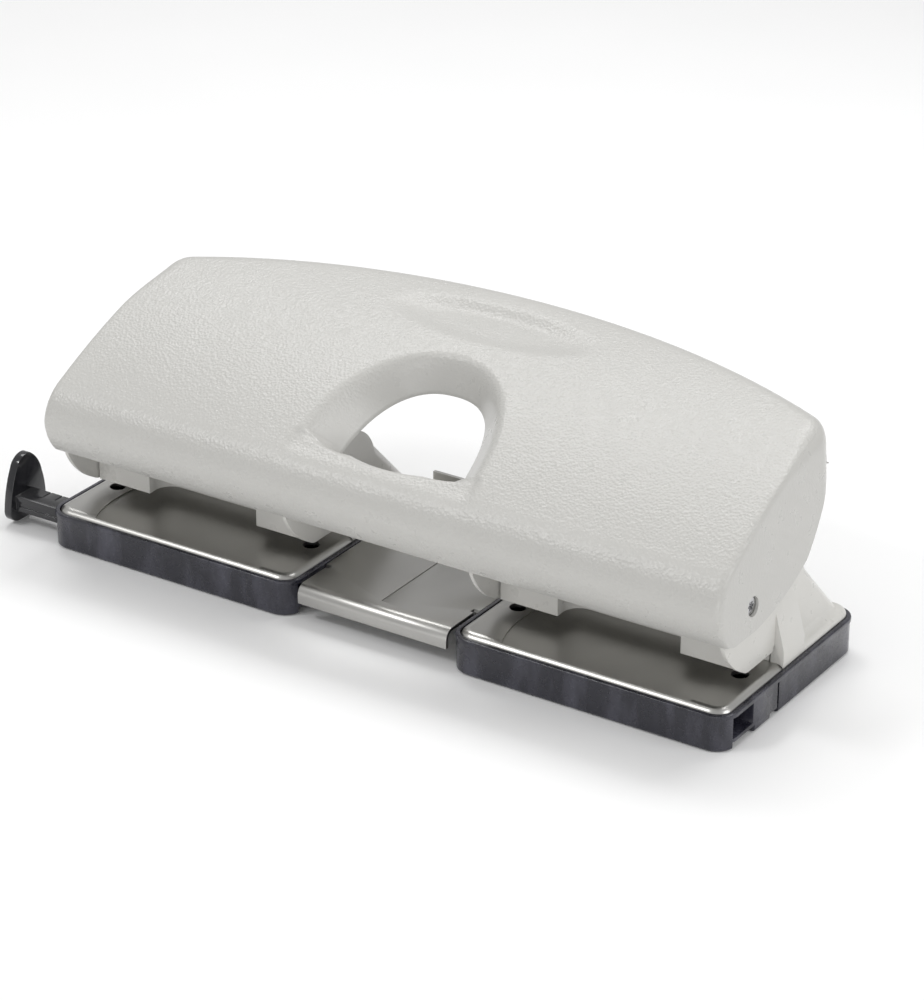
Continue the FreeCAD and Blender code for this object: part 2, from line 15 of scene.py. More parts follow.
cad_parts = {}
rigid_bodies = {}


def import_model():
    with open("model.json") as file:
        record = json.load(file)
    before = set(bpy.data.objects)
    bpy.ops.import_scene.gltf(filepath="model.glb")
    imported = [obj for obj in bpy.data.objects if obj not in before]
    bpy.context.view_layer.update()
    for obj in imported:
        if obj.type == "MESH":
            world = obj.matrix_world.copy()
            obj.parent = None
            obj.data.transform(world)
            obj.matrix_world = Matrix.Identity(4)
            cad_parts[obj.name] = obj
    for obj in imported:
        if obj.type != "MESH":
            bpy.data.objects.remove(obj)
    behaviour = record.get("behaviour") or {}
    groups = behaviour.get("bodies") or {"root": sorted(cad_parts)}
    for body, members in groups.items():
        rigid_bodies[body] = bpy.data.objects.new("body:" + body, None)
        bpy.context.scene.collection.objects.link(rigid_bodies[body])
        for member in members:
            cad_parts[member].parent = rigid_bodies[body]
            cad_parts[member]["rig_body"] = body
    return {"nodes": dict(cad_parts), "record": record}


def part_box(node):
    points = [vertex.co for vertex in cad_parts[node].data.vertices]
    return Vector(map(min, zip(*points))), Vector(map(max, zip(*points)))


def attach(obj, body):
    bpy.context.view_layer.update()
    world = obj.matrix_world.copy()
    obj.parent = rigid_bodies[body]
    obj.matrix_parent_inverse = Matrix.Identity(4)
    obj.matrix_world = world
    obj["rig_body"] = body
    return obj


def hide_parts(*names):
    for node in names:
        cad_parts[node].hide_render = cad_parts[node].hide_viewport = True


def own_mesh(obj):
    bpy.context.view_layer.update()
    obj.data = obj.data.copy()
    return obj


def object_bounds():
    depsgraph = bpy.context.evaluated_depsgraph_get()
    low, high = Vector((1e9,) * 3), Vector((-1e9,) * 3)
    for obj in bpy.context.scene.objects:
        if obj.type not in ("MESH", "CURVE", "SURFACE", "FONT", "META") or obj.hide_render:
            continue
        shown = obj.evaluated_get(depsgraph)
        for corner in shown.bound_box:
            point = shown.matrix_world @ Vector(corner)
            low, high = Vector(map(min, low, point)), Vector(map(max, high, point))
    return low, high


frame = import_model()
cad_low, cad_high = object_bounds()

MM = 0.001
UNITS = ("left", "right")


def middle_of_base():
    """The point on the desk midway between the two trays: forms below are drawn about it."""
    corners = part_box("left_chip_tray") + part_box("right_chip_tray")
    low = Vector(map(min, *corners))
    high = Vector(map(max, *corners))
    return Vector(((low.x + high.x) / 2, (low.y + high.y) / 2, 0.0))


BASE = middle_of_base()


# ---- materials ---------------------------------------------------------------
NOISE_ROUGHNESS = 0.55


class Finish:
    """A principled material with short helpers for its nodes. Sizes of patterns are in millimetres."""

    def __init__(self, name, color, roughness, metallic=0.0, **sockets):
        self.material = bpy.data.materials.new(name)
        self.material.use_nodes = True
        self.tree = self.material.node_tree
        self.shader = self.tree.nodes["Principled BSDF"]
        self.shader.inputs["Base Color"].default_value = (*color, 1.0)
        self.shader.inputs["Roughness"].default_value = roughness
        self.shader.inputs["Metallic"].default_value = metallic
        for label, value in sockets.items():
            self.shader.inputs[label.replace("_", " ")].default_value = value
        self.place = self.node("ShaderNodeTexCoord").outputs["Object"]

    def node(self, kind, **settings):
        made = self.tree.nodes.new(kind)
        for label, value in settings.items():
            setattr(made, label, value)
        return made

    def link(self, source, target):
        self.tree.links.new(source, target)

    def stretched(self, x, y, z):
        """The object's own coordinates, scaled along each axis."""
        mapping = self.node("ShaderNodeMapping")
        mapping.inputs["Scale"].default_value = (x, y, z)
        self.link(self.place, mapping.inputs["Vector"])
        return mapping.outputs["Vector"]

    def noise(self, size_mm, detail, where=None):
        made = self.node("ShaderNodeTexNoise")
        made.inputs["Scale"].default_value = 1.0 / (size_mm * MM)
        made.inputs["Detail"].default_value = detail
        made.inputs["Roughness"].default_value = NOISE_ROUGHNESS
        self.link(where or self.place, made.inputs["Vector"])
        return made.outputs["Fac"]

    def cells(self, size_mm, smoothness):
        made = self.node("ShaderNodeTexVoronoi", feature="SMOOTH_F1")
        made.inputs["Scale"].default_value = 1.0 / (size_mm * MM)
        made.inputs["Smoothness"].default_value = smoothness
        self.link(self.place, made.inputs["Vector"])
        return made.outputs["Distance"]

    def attribute(self, name):
        return self.node("ShaderNodeAttribute", attribute_name=name).outputs["Fac"]

    def math(self, operation, first, second):
        made = self.node("ShaderNodeMath", operation=operation)
        for socket, value in zip(made.inputs, (first, second)):
            if isinstance(value, (int, float)):
                socket.default_value = value
            else:
                self.link(value, socket)
        return made.outputs["Value"]

    def spread(self, value, low, high, out_low, out_high):
        """The value, taken from one range to another."""
        made = self.node("ShaderNodeMapRange")
        made.inputs["From Min"].default_value = low
        made.inputs["From Max"].default_value = high
        made.inputs["To Min"].default_value = out_low
        made.inputs["To Max"].default_value = out_high
        self.link(value, made.inputs["Value"])
        return made.outputs["Result"]

    def colors(self, value, first, second):
        made = self.node("ShaderNodeMix", data_type="RGBA")
        ends = [socket for socket in made.inputs if socket.type == "RGBA"]
        for socket, color in zip(ends, (first, second)):
            socket.default_value = (*color, 1.0)
        self.link(value, made.inputs["Factor"])
        mixed = [socket for socket in made.outputs if socket.type == "RGBA"][0]
        self.link(mixed, self.shader.inputs["Base Color"])

    def roughen(self, value):
        self.link(value, self.shader.inputs["Roughness"])

    def bump(self, height, depth_mm, strength=1.0, after=None):
        made = self.node("ShaderNodeBump")
        made.inputs["Strength"].default_value = strength
        made.inputs["Distance"].default_value = depth_mm * MM
        self.link(height, made.inputs["Height"])
        if after is not None:
            self.link(after, made.inputs["Normal"])
        self.link(made.outputs["Normal"], self.shader.inputs["Normal"])
        return made.outputs["Normal"]


def cover_paint():
    """Light warm grey coil-coat paint with a fine leather grain; the mask 'grain' fades it out."""
    paint = Finish("cover_paint", (0.51, 0.503, 0.48), 0.3, Specular_IOR_Level=0.5)
    wrinkles = paint.math("MULTIPLY", paint.noise(0.55, 2.0), 0.6)
    pebbles = paint.math("ADD", paint.cells(0.95, 0.4), wrinkles)
    height = paint.math("MULTIPLY", pebbles, paint.attribute("grain"))
    fine = paint.bump(paint.noise(2.6, 2.0), 0.018)
    paint.bump(height, 0.2, 0.75, after=fine)
    paint.colors(paint.noise(24.0, 4.0), (0.50, 0.494, 0.472), (0.525, 0.519, 0.497))
    paint.roughen(paint.spread(paint.noise(5.0, 4.0), 0.3, 0.7, 0.26, 0.34))
    return paint.material


def chassis_paint():
    """Smooth off-white paint with a trace of orange peel."""
    paint = Finish("chassis_paint", (0.60, 0.592, 0.562), 0.3)
    paint.bump(paint.noise(1.6, 2.0), 0.012)
    paint.colors(paint.noise(14.0, 4.0), (0.59, 0.582, 0.552), (0.615, 0.607, 0.58))
    paint.roughen(paint.spread(paint.noise(4.0, 4.0), 0.3, 0.7, 0.26, 0.35))
    return paint.material


def satin_plate():
    """Nickel-plated sheet with a soft satin sheen and faint rolling lines along X."""
    steel = Finish("satin_plate", (0.5, 0.494, 0.476), 0.33, metallic=1.0)
    lines = steel.noise(0.35, 3.0, where=steel.stretched(0.02, 1.0, 1.0))
    steel.bump(lines, 0.004, 0.4)
    steel.colors(steel.noise(22.0, 3.0), (0.485, 0.479, 0.462), (0.525, 0.519, 0.5))
    smudges = steel.math("ADD", steel.math("MULTIPLY", lines, 0.3), steel.noise(16.0, 2.0))
    steel.roughen(steel.spread(smudges, 0.4, 0.95, 0.29, 0.37))
    return steel.material


def smoky_plastic():
    """Dark bluish plastic with lighter patches painted in for the light that shows through smoky
    see-through plastic.
    """
    plastic = Finish("smoky_plastic", (0.02, 0.02, 0.03), 0.22, Coat_Weight=0.25, Coat_Roughness=0.12)
    through_light_noise = plastic.noise(9.0, 3.0, where=plastic.stretched(1.0, 1.0, 0.3))
    # Lighter patches: painted light that stands in for light showing through the see-through plastic.
    painted_through_light = plastic.spread(through_light_noise, 0.42, 0.66, 0.0, 1.0)
    plastic.colors(painted_through_light, (0.012, 0.012, 0.020), (0.050, 0.050, 0.068))
    plastic.roughen(plastic.spread(plastic.noise(3.0, 4.0), 0.3, 0.7, 0.2, 0.34))
    plastic.bump(plastic.noise(1.1, 3.0), 0.012)
    return plastic.material


def black_plastic():
    """Glossy black moulded plastic."""
    plastic = Finish("black_plastic", (0.012, 0.012, 0.014), 0.16, Coat_Weight=0.3, Coat_Roughness=0.06)
    plastic.colors(plastic.noise(6.0, 3.0), (0.010, 0.010, 0.012), (0.019, 0.019, 0.022))
    plastic.roughen(plastic.spread(plastic.noise(2.5, 4.0), 0.3, 0.7, 0.13, 0.24))
    plastic.bump(plastic.noise(1.8, 2.0), 0.012)
    return plastic.material


def turned_steel(name, color, low, high):
    """Small steel parts with fine turning marks."""
    steel = Finish(name, color, low, metallic=1.0)
    steel.bump(steel.noise(0.3, 2.0), 0.01, 0.6)
    steel.colors(steel.noise(3.0, 3.0), tuple(0.86 * part for part in color), color)
    steel.roughen(steel.spread(steel.noise(1.2, 3.0), 0.3, 0.7, low, high))
    return steel.material


def floor_paint():
    """Plain pale floor of the studio."""
    surface = Finish("floor_white", (0.93, 0.93, 0.93), 0.65)
    surface.roughen(surface.spread(surface.noise(60.0, 3.0), 0.3, 0.7, 0.6, 0.7))
    return surface.material


MATERIALS = {
    "handle_paint": cover_paint(),
    "chassis_paint": chassis_paint(),
    "plate_steel": satin_plate(),
    "tray_plastic": smoky_plastic(),
    "guide_plastic": black_plastic(),
    # zinc_steel is made dark grey to paint in the shade that falls on the pivot pins deep in their holes.
    "zinc_steel": turned_steel("zinc_steel", (0.36, 0.36, 0.37), 0.2, 0.34),
    "pin_steel": turned_steel("pin_steel", (0.56, 0.56, 0.57), 0.14, 0.26),
    "spring_steel": turned_steel("spring_steel", (0.42, 0.42, 0.44), 0.22, 0.36),
}
SLOT_OF = {part["node"]: part["material_slot"] for part in frame["record"]["subparts"]}


# ---- mesh helpers --------------------------------------------------------------
CAD_WELD = 0.002             # points of a CAD mesh closer than this are one point
FLAT_ANGLE = math.radians(0.5)
EDGE_ANGLE = math.radians(35.0)


def add_object(name, mesh, body, slot):
    """A piece that rides on a body of the frame and wears one material slot."""
    made = bpy.data.objects.new(name, mesh)
    bpy.context.scene.collection.objects.link(made)
    mesh.materials.clear()
    mesh.materials.append(MATERIALS[slot])
    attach(made, body)
    return made


def finished_mesh(source):
    """The mesh of an object with its modifiers applied."""
    graph = bpy.context.evaluated_depsgraph_get()
    return bpy.data.meshes.new_from_object(source.evaluated_get(graph))


def smooth_by_angle(mesh, degrees):
    """Smooth shading, with edges sharper than the angle kept hard."""
    form = bmesh.new()
    form.from_mesh(mesh)
    for face in form.faces:
        face.smooth = True
    for edge in form.edges:
        edge.smooth = len(edge.link_faces) == 2 and edge.calc_face_angle(0.0) < math.radians(degrees)
    form.to_mesh(mesh)
    form.free()


def softened(node, width_mm, segments=2):
    """A stand-in for a CAD node with its hard edges rounded over."""
    source = frame["nodes"][node]
    mesh = source.data.copy()
    form = bmesh.new()
    form.from_mesh(mesh)
    bmesh.ops.remove_doubles(form, verts=form.verts, dist=CAD_WELD * MM)
    bmesh.ops.dissolve_limit(form, angle_limit=FLAT_ANGLE, verts=form.verts, edges=form.edges)
    form.to_mesh(mesh)
    form.free()
    if mesh.has_custom_normals:
        mesh.attributes.remove(mesh.attributes["custom_normal"])
    rough = bpy.data.objects.new(node + "_rough", mesh)
    bpy.context.scene.collection.objects.link(rough)
    bevel = rough.modifiers.new("round", "BEVEL")
    bevel.width = width_mm * MM
    bevel.segments = segments
    bevel.limit_method = "ANGLE"
    bevel.angle_limit = EDGE_ANGLE
    bevel.use_clamp_overlap = True
    final = finished_mesh(rough)
    bpy.data.objects.remove(rough)
    smooth_by_angle(final, 30.0)
    piece = add_object(node + "_finished", final, source["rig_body"], SLOT_OF[node])
    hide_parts(node)


# ---- the lever cover -------------------------------------------------------------
COVER_SHEET = 1.0
COVER_HALF, END_REF_Z, END_DRAFT = 128.75, 35.0, 0.08      # half length at that height, ends lean in above
REAR_Y, REAR_R, REAR_ROUND = 53.2, 318.0, 7.5              # rear edge: an arc, and its rounding to the face
RIDGE_FRONT, RIDGE_REAR = 2.0, 6.5                         # radius of the edge between face and ends
RIDGE_FROM_Y, RIDGE_TO_Y = -5.0, 24.0                      # the radius grows between these
NARROWS_FROM_Y = 12.0                                      # rows of points follow the rear arc from here
LOWER_EDGE_Z = 34.4
PATH_SAMPLES = 4000
SHORT_STEP = 0.01                                          # gives the direction at an arc's end
SETTLE_ROUNDS = 8                                          # steps that move a point onto the surface
PIVOT_Y, PIVOT_Z, PIVOT_HOLE_R = -25.0, 42.7, 3.2
DRILL_X, DRILL_LENGTH = 128.0, 10.0
PATCH_WELD, SHORTEST_EDGE = 0.03, 0.01                     # where the patches are sewn together
FACE_SLOPE = math.radians(22.5)                            # of the face around the grip


class Arc:
    """An arc through three points of the YZ plane, followed by its length."""

    def __init__(self, start, through, end):
        (x1, y1), (x2, y2), (x3, y3) = start, through, end
        system = np.array([[x2 - x1, y2 - y1], [x3 - x1, y3 - y1]]) * 2
        right = np.array([x2**2 - x1**2 + y2**2 - y1**2, x3**2 - x1**2 + y3**2 - y1**2])
        self.centre = np.linalg.solve(system, right)
        self.radius = math.dist(self.centre, start)
        spokes = [np.subtract(point, self.centre) for point in (start, through, end)]
        angles = np.unwrap([math.atan2(y, x) for x, y in spokes])
        self.first, self.turn = angles[0], angles[2] - angles[0]
        self.length = self.radius * abs(self.turn)

    def at(self, s):
        angle = self.first + self.turn * np.asarray(s) / self.length
        return np.stack([self.centre[0] + self.radius * np.cos(angle),
                         self.centre[1] + self.radius * np.sin(angle)], -1)


class Straight:
    """A straight stretch, followed by its length."""

    def __init__(self, start, end):
        self.start, self.end = np.array(start, float), np.array(end, float)
        self.length = math.dist(start, end)

    def at(self, s):
        return self.start + (self.end - self.start) * (np.asarray(s) / self.length)[..., None]


class Path:
    """Arcs and straights in a row."""

    def __init__(self, *parts):
        self.parts = parts
        self.ends = np.cumsum([0.0] + [part.length for part in parts])
        self.length = self.ends[-1]
        self.samples = np.linspace(0, self.length, PATH_SAMPLES)
        self.points = self.at(self.samples)

    def at(self, s):
        s = np.asarray(s, float)
        result = np.zeros(s.shape + (2,))
        which = np.clip(np.searchsorted(self.ends, s, side="right") - 1, 0, len(self.parts) - 1)
        for number, part in enumerate(self.parts):
            chosen = which == number
            result[chosen] = part.at(s[chosen] - self.ends[number])
        return result


NOSE_LOW = Arc((-38.0, 33.4), (-42.5, 39.4), (-44.6, 46.0))
NOSE = Arc((-44.6, 46.0), (-42.6, 53.2), (-36.2, 59.2))
FACE = Arc((-36.2, 59.2), (5.0, 78.0), (60.0, 88.8))
PROFILE = Path(NOSE_LOW, NOSE, FACE)
LOW_PART = PROFILE.samples < NOSE_LOW.length
START_S = float(np.interp(LOWER_EDGE_Z, PROFILE.points[LOW_PART, 1], PROFILE.samples[LOW_PART]))
START_Y = float(PROFILE.at(START_S)[0])
UNDERSIDE = Path(
    Straight((START_Y, LOWER_EDGE_Z), (-24.0, LOWER_EDGE_Z)),
    Arc((-24.0, LOWER_EDGE_Z), (-6.0, 38.2), (8.7, 44.3)),
    Arc((8.7, 44.3), (17.2, 53.8), (24.0, 64.8)),
    Arc((24.0, 64.8), (26.4, 67.8), (30.0, 70.6)),
    Straight((30.0, 70.6), (60.0, 75.6)),
)
RISING = UNDERSIDE.samples > UNDERSIDE.parts[0].length


def face_s(y):
    """Length along the profile at which the face reaches y."""
    behind = PROFILE.samples > PROFILE.ends[2]
    return np.interp(y, PROFILE.points[behind, 0], PROFILE.samples[behind])


def underside_z(y):
    """Height of the cover's lower edge behind its level front stretch."""
    return np.interp(y, UNDERSIDE.points[RISING, 0], UNDERSIDE.points[RISING, 1])


def half_length(z):
    """Distance of the end's plane from the middle."""
    return COVER_HALF - END_DRAFT * (z - END_REF_Z)


def rear_y(x):
    """The rear edge, an arc seen from above."""
    return REAR_Y - REAR_R + np.sqrt(REAR_R**2 - x**2)


def smooth(value, low, high):
    """0 at low, 1 at high, with soft ends."""
    t = np.clip((value - low) / (high - low), 0, 1)
    return t * t * (3 - 2 * t)


def rounded_pair(a, grad_a, b, grad_b, radius):
    """Distance and gradient of two half-spaces that meet in a rounded edge."""
    u, v = np.maximum(a + radius, 0), np.maximum(b + radius, 0)
    long = np.sqrt(u * u + v * v)
    both = (u > 0) & (v > 0)
    value = np.where(both, long - radius, np.maximum(a, b))
    safe = np.maximum(long, 1e-9)[:, None]
    mixed = (u[:, None] * grad_a + v[:, None] * grad_b) / safe
    single = np.where((a > b)[:, None], grad_a, grad_b)
    return value, np.where(both[:, None], mixed, single)


def profile_field(points):
    """Signed distance to the profile, from the arc that lies nearest."""
    yz = points[:, 1:]
    value = np.zeros(len(points))
    grad = np.zeros((len(points), 3))
    zone = np.zeros(len(points), int)
    for number, arc in enumerate((NOSE_LOW, NOSE)):
        joint, before = arc.at(arc.length), arc.at(arc.length - SHORT_STEP)
        ahead = (yz - joint) @ (joint - before) > 0
        zone[ahead] = number + 1
    for number, arc in enumerate((NOSE_LOW, NOSE, FACE)):
        chosen = zone == number
        away = yz[chosen] - arc.centre
        far = np.linalg.norm(away, axis=1)
        value[chosen] = far - arc.radius
        grad[chosen, 1:] = away / far[:, None]
    return value, grad


def on_cover(points):
    """Moves points onto the cover's outer surface with its rounded edges."""
    points = points.copy()
    tilt = math.hypot(1.0, END_DRAFT)
    for _ in range(SETTLE_ROUNDS):
        x, y, z = points.T
        side = np.sign(x)
        face, face_grad = profile_field(points)
        end = (np.abs(x) - half_length(z)) / tilt
        end_grad = np.stack([side / tilt, 0 * x, 0 * x + END_DRAFT / tilt], -1)
        away = np.stack([x, y - (REAR_Y - REAR_R)], -1)
        far = np.linalg.norm(away, axis=1)
        rear_grad = np.concatenate([away / far[:, None], 0 * x[:, None]], 1)
        value, grad = rounded_pair(face, face_grad, far - REAR_R, rear_grad, REAR_ROUND)
        ridge = RIDGE_FRONT + (RIDGE_REAR - RIDGE_FRONT) * smooth(y, RIDGE_FROM_Y, RIDGE_TO_Y)
        value, grad = rounded_pair(value, grad, end, end_grad, ridge)
        points -= grad * (value / np.maximum((grad**2).sum(1), 1e-6))[:, None]
    return points


# Grip opening, in lengths along the face from its middle: an arch over a shallow front lip
GRIP_Y = -12.0
GRIP_BASE = -20.0                                 # the arches stand on this line
CREASE_A, CREASE_B, CREASE_LIP, CREASE_POWER = 32.6, 43.8, 6.0, 2.0      # where the face turns down
HOLE_A, HOLE_B, HOLE_LIP, HOLE_POWER = 22.6, 37.3, 4.4, 2.4              # the hole is a fuller arch
CREASE_W = 2.4                                    # half width of the rounded crease
GRIP_DEPTH, LIP_ROLL = 11.0, 2.4
ROLL_ANGLE, DRAW_ANGLE = -52.0, -27.0             # from a mere roll at the lip to the full draw
RIM_IN, RIM_DOWN = 0.15, 0.7                      # last turn of the rim
GRIP_FRAME_X, GRIP_FRAME_S = 44.0, (-34.0, 33.0)
GRIP_EYE = -6.0                                   # the rays that order the rings start here
HALVINGS = 40                                     # for the search of an arch along a ray
OUTER_RINGS = (1, .92, .83, .73, .63, .53, .43, .34, .26, .19, .14, .1, .07, .045, .02)
INNER_RINGS = (0, .04, .08, .13, .19, .26, .34, .43, .52, .61, .7, .79, .87, .94, 1.0)
LEAST_GAP = 0.5                                   # between crease and hole
CREASE_SHARE = 0.6                                # most of the gap that the crease may take up
GRAIN_FADE, LEAST_GRAIN, FADE_GAP = 1.6, 0.12, 2.0      # the grain is stretched smooth in the draw
REAR_GRAIN, FLANK_GRAIN = 0.35, 0.3
FLANK_LEAN = 1.5                                  # columns of points on the ends lean forward

# Panel ahead of the lip, which lies a little lower, and thumb recess behind the grip
PANEL_HALF, PANEL_DROP, PANEL_EDGE = 34.4, 1.2, 1.2
PANEL_REAR_Y, PANEL_FRONT_Y = (-29.5, -31.5), (-33.0, -43.0)
PANEL_LOW_Z, THUMB_LOW_Z = 40.0, 70.0             # both are pressed in above these heights only
THUMB_Y, THUMB_A, THUMB_B, THUMB_DROP = 29.6, 42.5, 11.6, 2.2
THUMB_FLOOR = 0.5                                 # share of the recess that is fully deep
THUMB_MIDDLE, THUMB_SLOPE = 0.72, 0.4             # the recess gets deeper towards the rear


def loop_radius(angle, a, b, lip, power):
    """Distance from the eye to an arch over a shallow arc, along rays at the angles."""
    dx, dy = np.cos(angle), np.sin(angle)
    shift = GRIP_EYE - GRIP_BASE
    near, far = np.zeros_like(dx), np.full_like(dx, 2.0 * b)
    for _ in range(HALVINGS):
        upper = (near + far) / 2
        inside = np.abs(upper * dx / a) ** power + np.abs((shift + upper * dy) / b) ** power < 1
        near, far = np.where(inside, upper, near), np.where(inside, far, upper)
    big = (a * a + lip * lip) / (2 * lip)
    centre = GRIP_BASE - lip + big
    rise = GRIP_EYE - centre
    along = rise * dy
    lower = -along + np.sqrt(np.maximum(along**2 - rise**2 + big**2, 0))
    return np.minimum(upper, lower)


def flange_depth(angle):
    """How deep the opening's flange reaches: the full draw behind, only a roll at the front lip."""
    down = np.degrees(np.arcsin(np.clip(np.sin(angle), -1, 1)))
    return LIP_ROLL + (GRIP_DEPTH - LIP_ROLL) * smooth(down, ROLL_ANGLE, DRAW_ANGLE)


def spaced(low, high, step):
    """Even places from low to high, about a step apart."""
    return np.linspace(low, high, max(2, int(round(abs(high - low) / step)) + 1))


def steps_from_edge(length, near, step):
    """Places from 0 to length that crowd together at the far end."""
    inner = [length - gap for gap in near]
    body = spaced(0.0, inner[-1], step)
    return np.concatenate([body[:-1], inner[::-1]])


NEAR_RIDGE = (0.0, 0.5, 1.0, 1.6, 2.3, 3.1, 4.1, 5.4, 7.0, 9.0)
NEAR_REAR = (0.0, 1.0, 2.1, 3.3, 4.6, 6.0, 7.6, 9.4, 11.5)
SKIRT_ROWS = np.array([0, .02, .045, .075, .11, .15, .2, .26, .33, .41, .5, .6, .7, .8, .88, .94, 1])
LOW_STEP, FINE_STEP, REAR_STEP, SIDE_STEP = 1.2, 1.0, 1.5, 1.7      # between rows or columns of points
FIRST_Z, WIDTH_ROUNDS = 60.0, 3                   # x depends on the height, so both are settled in turns


class Sheet:
    """Collects patches of quads that share their border points."""

    def __init__(self):
        self.points, self.grain, self.faces, self.count = [], [], [], 0

    def patch(self, points, grain, closed=False):
        rows, columns = points.shape[:2]
        index = self.count + np.arange(rows * columns).reshape(rows, columns)
        self.points.append(points.reshape(-1, 3))
        self.grain.append(np.broadcast_to(grain, (rows, columns)).reshape(-1))
        self.count += rows * columns
        after = np.roll(index, -1, axis=1) if closed else index[:, 1:]
        first = index if closed else index[:, :-1]
        quads = np.stack([first[:-1], after[:-1], after[1:], first[1:]], -1)
        self.faces.append(quads.reshape(-1, 4))


def cover_points(x, s):
    """Points of the face and nose at x and at length s, with the rows drawn in to the rear arc."""
    fixed, last = face_s(NARROWS_FROM_Y), face_s(REAR_Y)
    edge = face_s(rear_y(x))
    s = np.where(s > fixed, fixed + (s - fixed) * (edge - fixed) / (last - fixed), s)
    yz = PROFILE.at(s)
    return np.stack([x, yz[..., 0], yz[..., 1]], -1)


def widened(share, z):
    """x for a share of 0 at the grip frame to 1 at the cover's end."""
    return GRIP_FRAME_X + (half_length(z) - GRIP_FRAME_X) * share


def side_patch(sheet, rows, sign):
    """The face between the grip frame and one end."""
    length = COVER_HALF - GRIP_FRAME_X
    share = steps_from_edge(length, NEAR_RIDGE, SIDE_STEP) / length
    share_grid, s_grid = np.meshgrid(share, rows)
    x = widened(share_grid, FIRST_Z)
    for _ in range(WIDTH_ROUNDS):
        points = cover_points(x, s_grid)
        x = widened(share_grid, points[..., 2])
    points[..., 0] = x * sign
    if sign < 0:
        points = points[:, ::-1]
    sheet.patch(points, 1.0)
    return points


def middle_patch(sheet, rows, columns):
    """The face ahead of or behind the grip frame."""
    x_grid, s_grid = np.meshgrid(columns, rows)
    sheet.patch(cover_points(x_grid, s_grid), 1.0)


def grip_border(rows, columns, middle):
    """The grip frame's border points, once round."""
    low, high = rows[0], rows[-1]
    bottom = [(x, low) for x in columns[:-1]]
    right = [(columns[-1], s) for s in rows[:-1]]
    top = [(x, high) for x in columns[:0:-1]]
    left = [(columns[0], s) for s in rows[:0:-1]]
    return np.array(bottom + right + top + left) - (0.0, middle)


def rounded_ramp(run, half_width):
    """Grows as the run past the crease, with the turn itself rounded over."""
    turn = (run + half_width) ** 2 / (4 * half_width)
    return np.where(run < -half_width, 0, np.where(run > half_width, run, turn))


def grip_patch(sheet, rows, columns, middle):
    """Rings of quads from the grip frame's border down into the opening."""
    border = grip_border(rows, columns, middle)
    angle = np.arctan2(border[:, 1] - GRIP_EYE, border[:, 0])
    ray = np.stack([np.cos(angle), np.sin(angle)], -1)
    crease = loop_radius(angle, CREASE_A, CREASE_B, CREASE_LIP, CREASE_POWER)
    hole = loop_radius(angle, HOLE_A, HOLE_B, HOLE_LIP, HOLE_POWER)
    eye = np.array([0.0, GRIP_EYE])
    beyond = np.linalg.norm(border - eye, axis=1) - crease
    deep = flange_depth(angle)
    gap = np.maximum(crease - hole, LEAST_GAP)
    half_width = np.minimum(CREASE_W, gap * CREASE_SHARE)
    runs = [-beyond * share for share in OUTER_RINGS] + [gap * share for share in INNER_RINGS]
    rings, grains = [], []
    for run in runs:
        drop = rounded_ramp(run, half_width) * deep / gap
        rings.append(grip_points(eye + ray * (crease - run)[:, None], drop, middle))
        sunk = np.maximum(run, 0) / np.maximum(gap, FADE_GAP)
        grains.append(np.clip(1.0 - sunk * GRAIN_FADE, LEAST_GRAIN, 1.0))
    rings.append(grip_points(eye + ray * (hole - RIM_IN)[:, None], deep + RIM_DOWN, middle))
    grains.append(grains[-1])
    sheet.patch(np.array(rings), np.array(grains), closed=True)


def grip_points(flat, drop, middle):
    """Points at (x, length from the grip's middle), sunk straight into the face."""
    points = cover_points(flat[:, 0], flat[:, 1] + middle)
    into = np.array([0.0, math.sin(FACE_SLOPE), -math.cos(FACE_SLOPE)])
    return points + into * drop[:, None]


def skirt(sheet, right_face, left_face, rear_edge_x):
    """Turned-down ends and rear, from the face's border to the cover's lower edge."""
    away = np.abs(rear_edge_x)
    top = cover_points(rear_edge_x, np.full(rear_edge_x.shape, face_s(REAR_Y)))
    spread = np.clip((away - GRIP_FRAME_X) / (away.max() - GRIP_FRAME_X), 0, 1)
    low = underside_z(top[:, 1])
    z = top[:, 2] + (low - top[:, 2]) * SKIRT_ROWS[:, None]
    x = np.where(away > GRIP_FRAME_X, np.sign(rear_edge_x) * widened(spread, z), rear_edge_x)
    rear = np.stack([x, rear_y(x), z], -1)
    sheet.patch(rear[:, ::-1], REAR_GRAIN)
    for face, sign in ((right_face[:, -1], 1), (left_face[:, 0], -1)):
        gone = np.linalg.norm(np.diff(face[:, 1:], axis=0), axis=1)
        along = np.concatenate([[0], np.cumsum(gone)]) / gone.sum()
        last_y = face[-1, 1]
        full = np.interp(last_y, UNDERSIDE.points[RISING, 0], UNDERSIDE.samples[RISING])
        lower = UNDERSIDE.at(full * along**FLANK_LEAN)
        yz = face[None, :, 1:] + (lower - face[:, 1:])[None] * SKIRT_ROWS[:, None, None]
        flank = np.stack([sign * half_length(yz[..., 1]), yz[..., 0], yz[..., 1]], -1)
        flank[:, -1] = rear[:, -1] if sign > 0 else rear[:, 0]
        sheet.patch(flank if sign > 0 else flank[:, ::-1], FLANK_GRAIN)


def pressed_details(points):
    """How far each point of the face is pressed in: the panel ahead of the lip and the thumb recess."""
    x, y, z = points.T
    ahead = smooth(y, *PANEL_REAR_Y) * (1 - smooth(y, *PANEL_FRONT_Y)) * (z > PANEL_LOW_Z)
    beside = smooth(np.abs(x), PANEL_HALF - PANEL_EDGE, PANEL_HALF + PANEL_EDGE)
    panel = PANEL_DROP * ahead * (1 - beside)
    across = (y - THUMB_Y) / THUMB_B
    away = np.sqrt((x / THUMB_A) ** 2 + across**2)
    deep = THUMB_MIDDLE + THUMB_SLOPE * across
    thumb = THUMB_DROP * (1 - smooth(away, THUMB_FLOOR, 1.0)) * deep * (z > THUMB_LOW_Z)
    return panel + thumb


def pressed_in(points):
    """The points with the panel and the thumb recess pressed into them."""
    inward = profile_field(points)[1]
    return points - inward * pressed_details(points)[:, None]


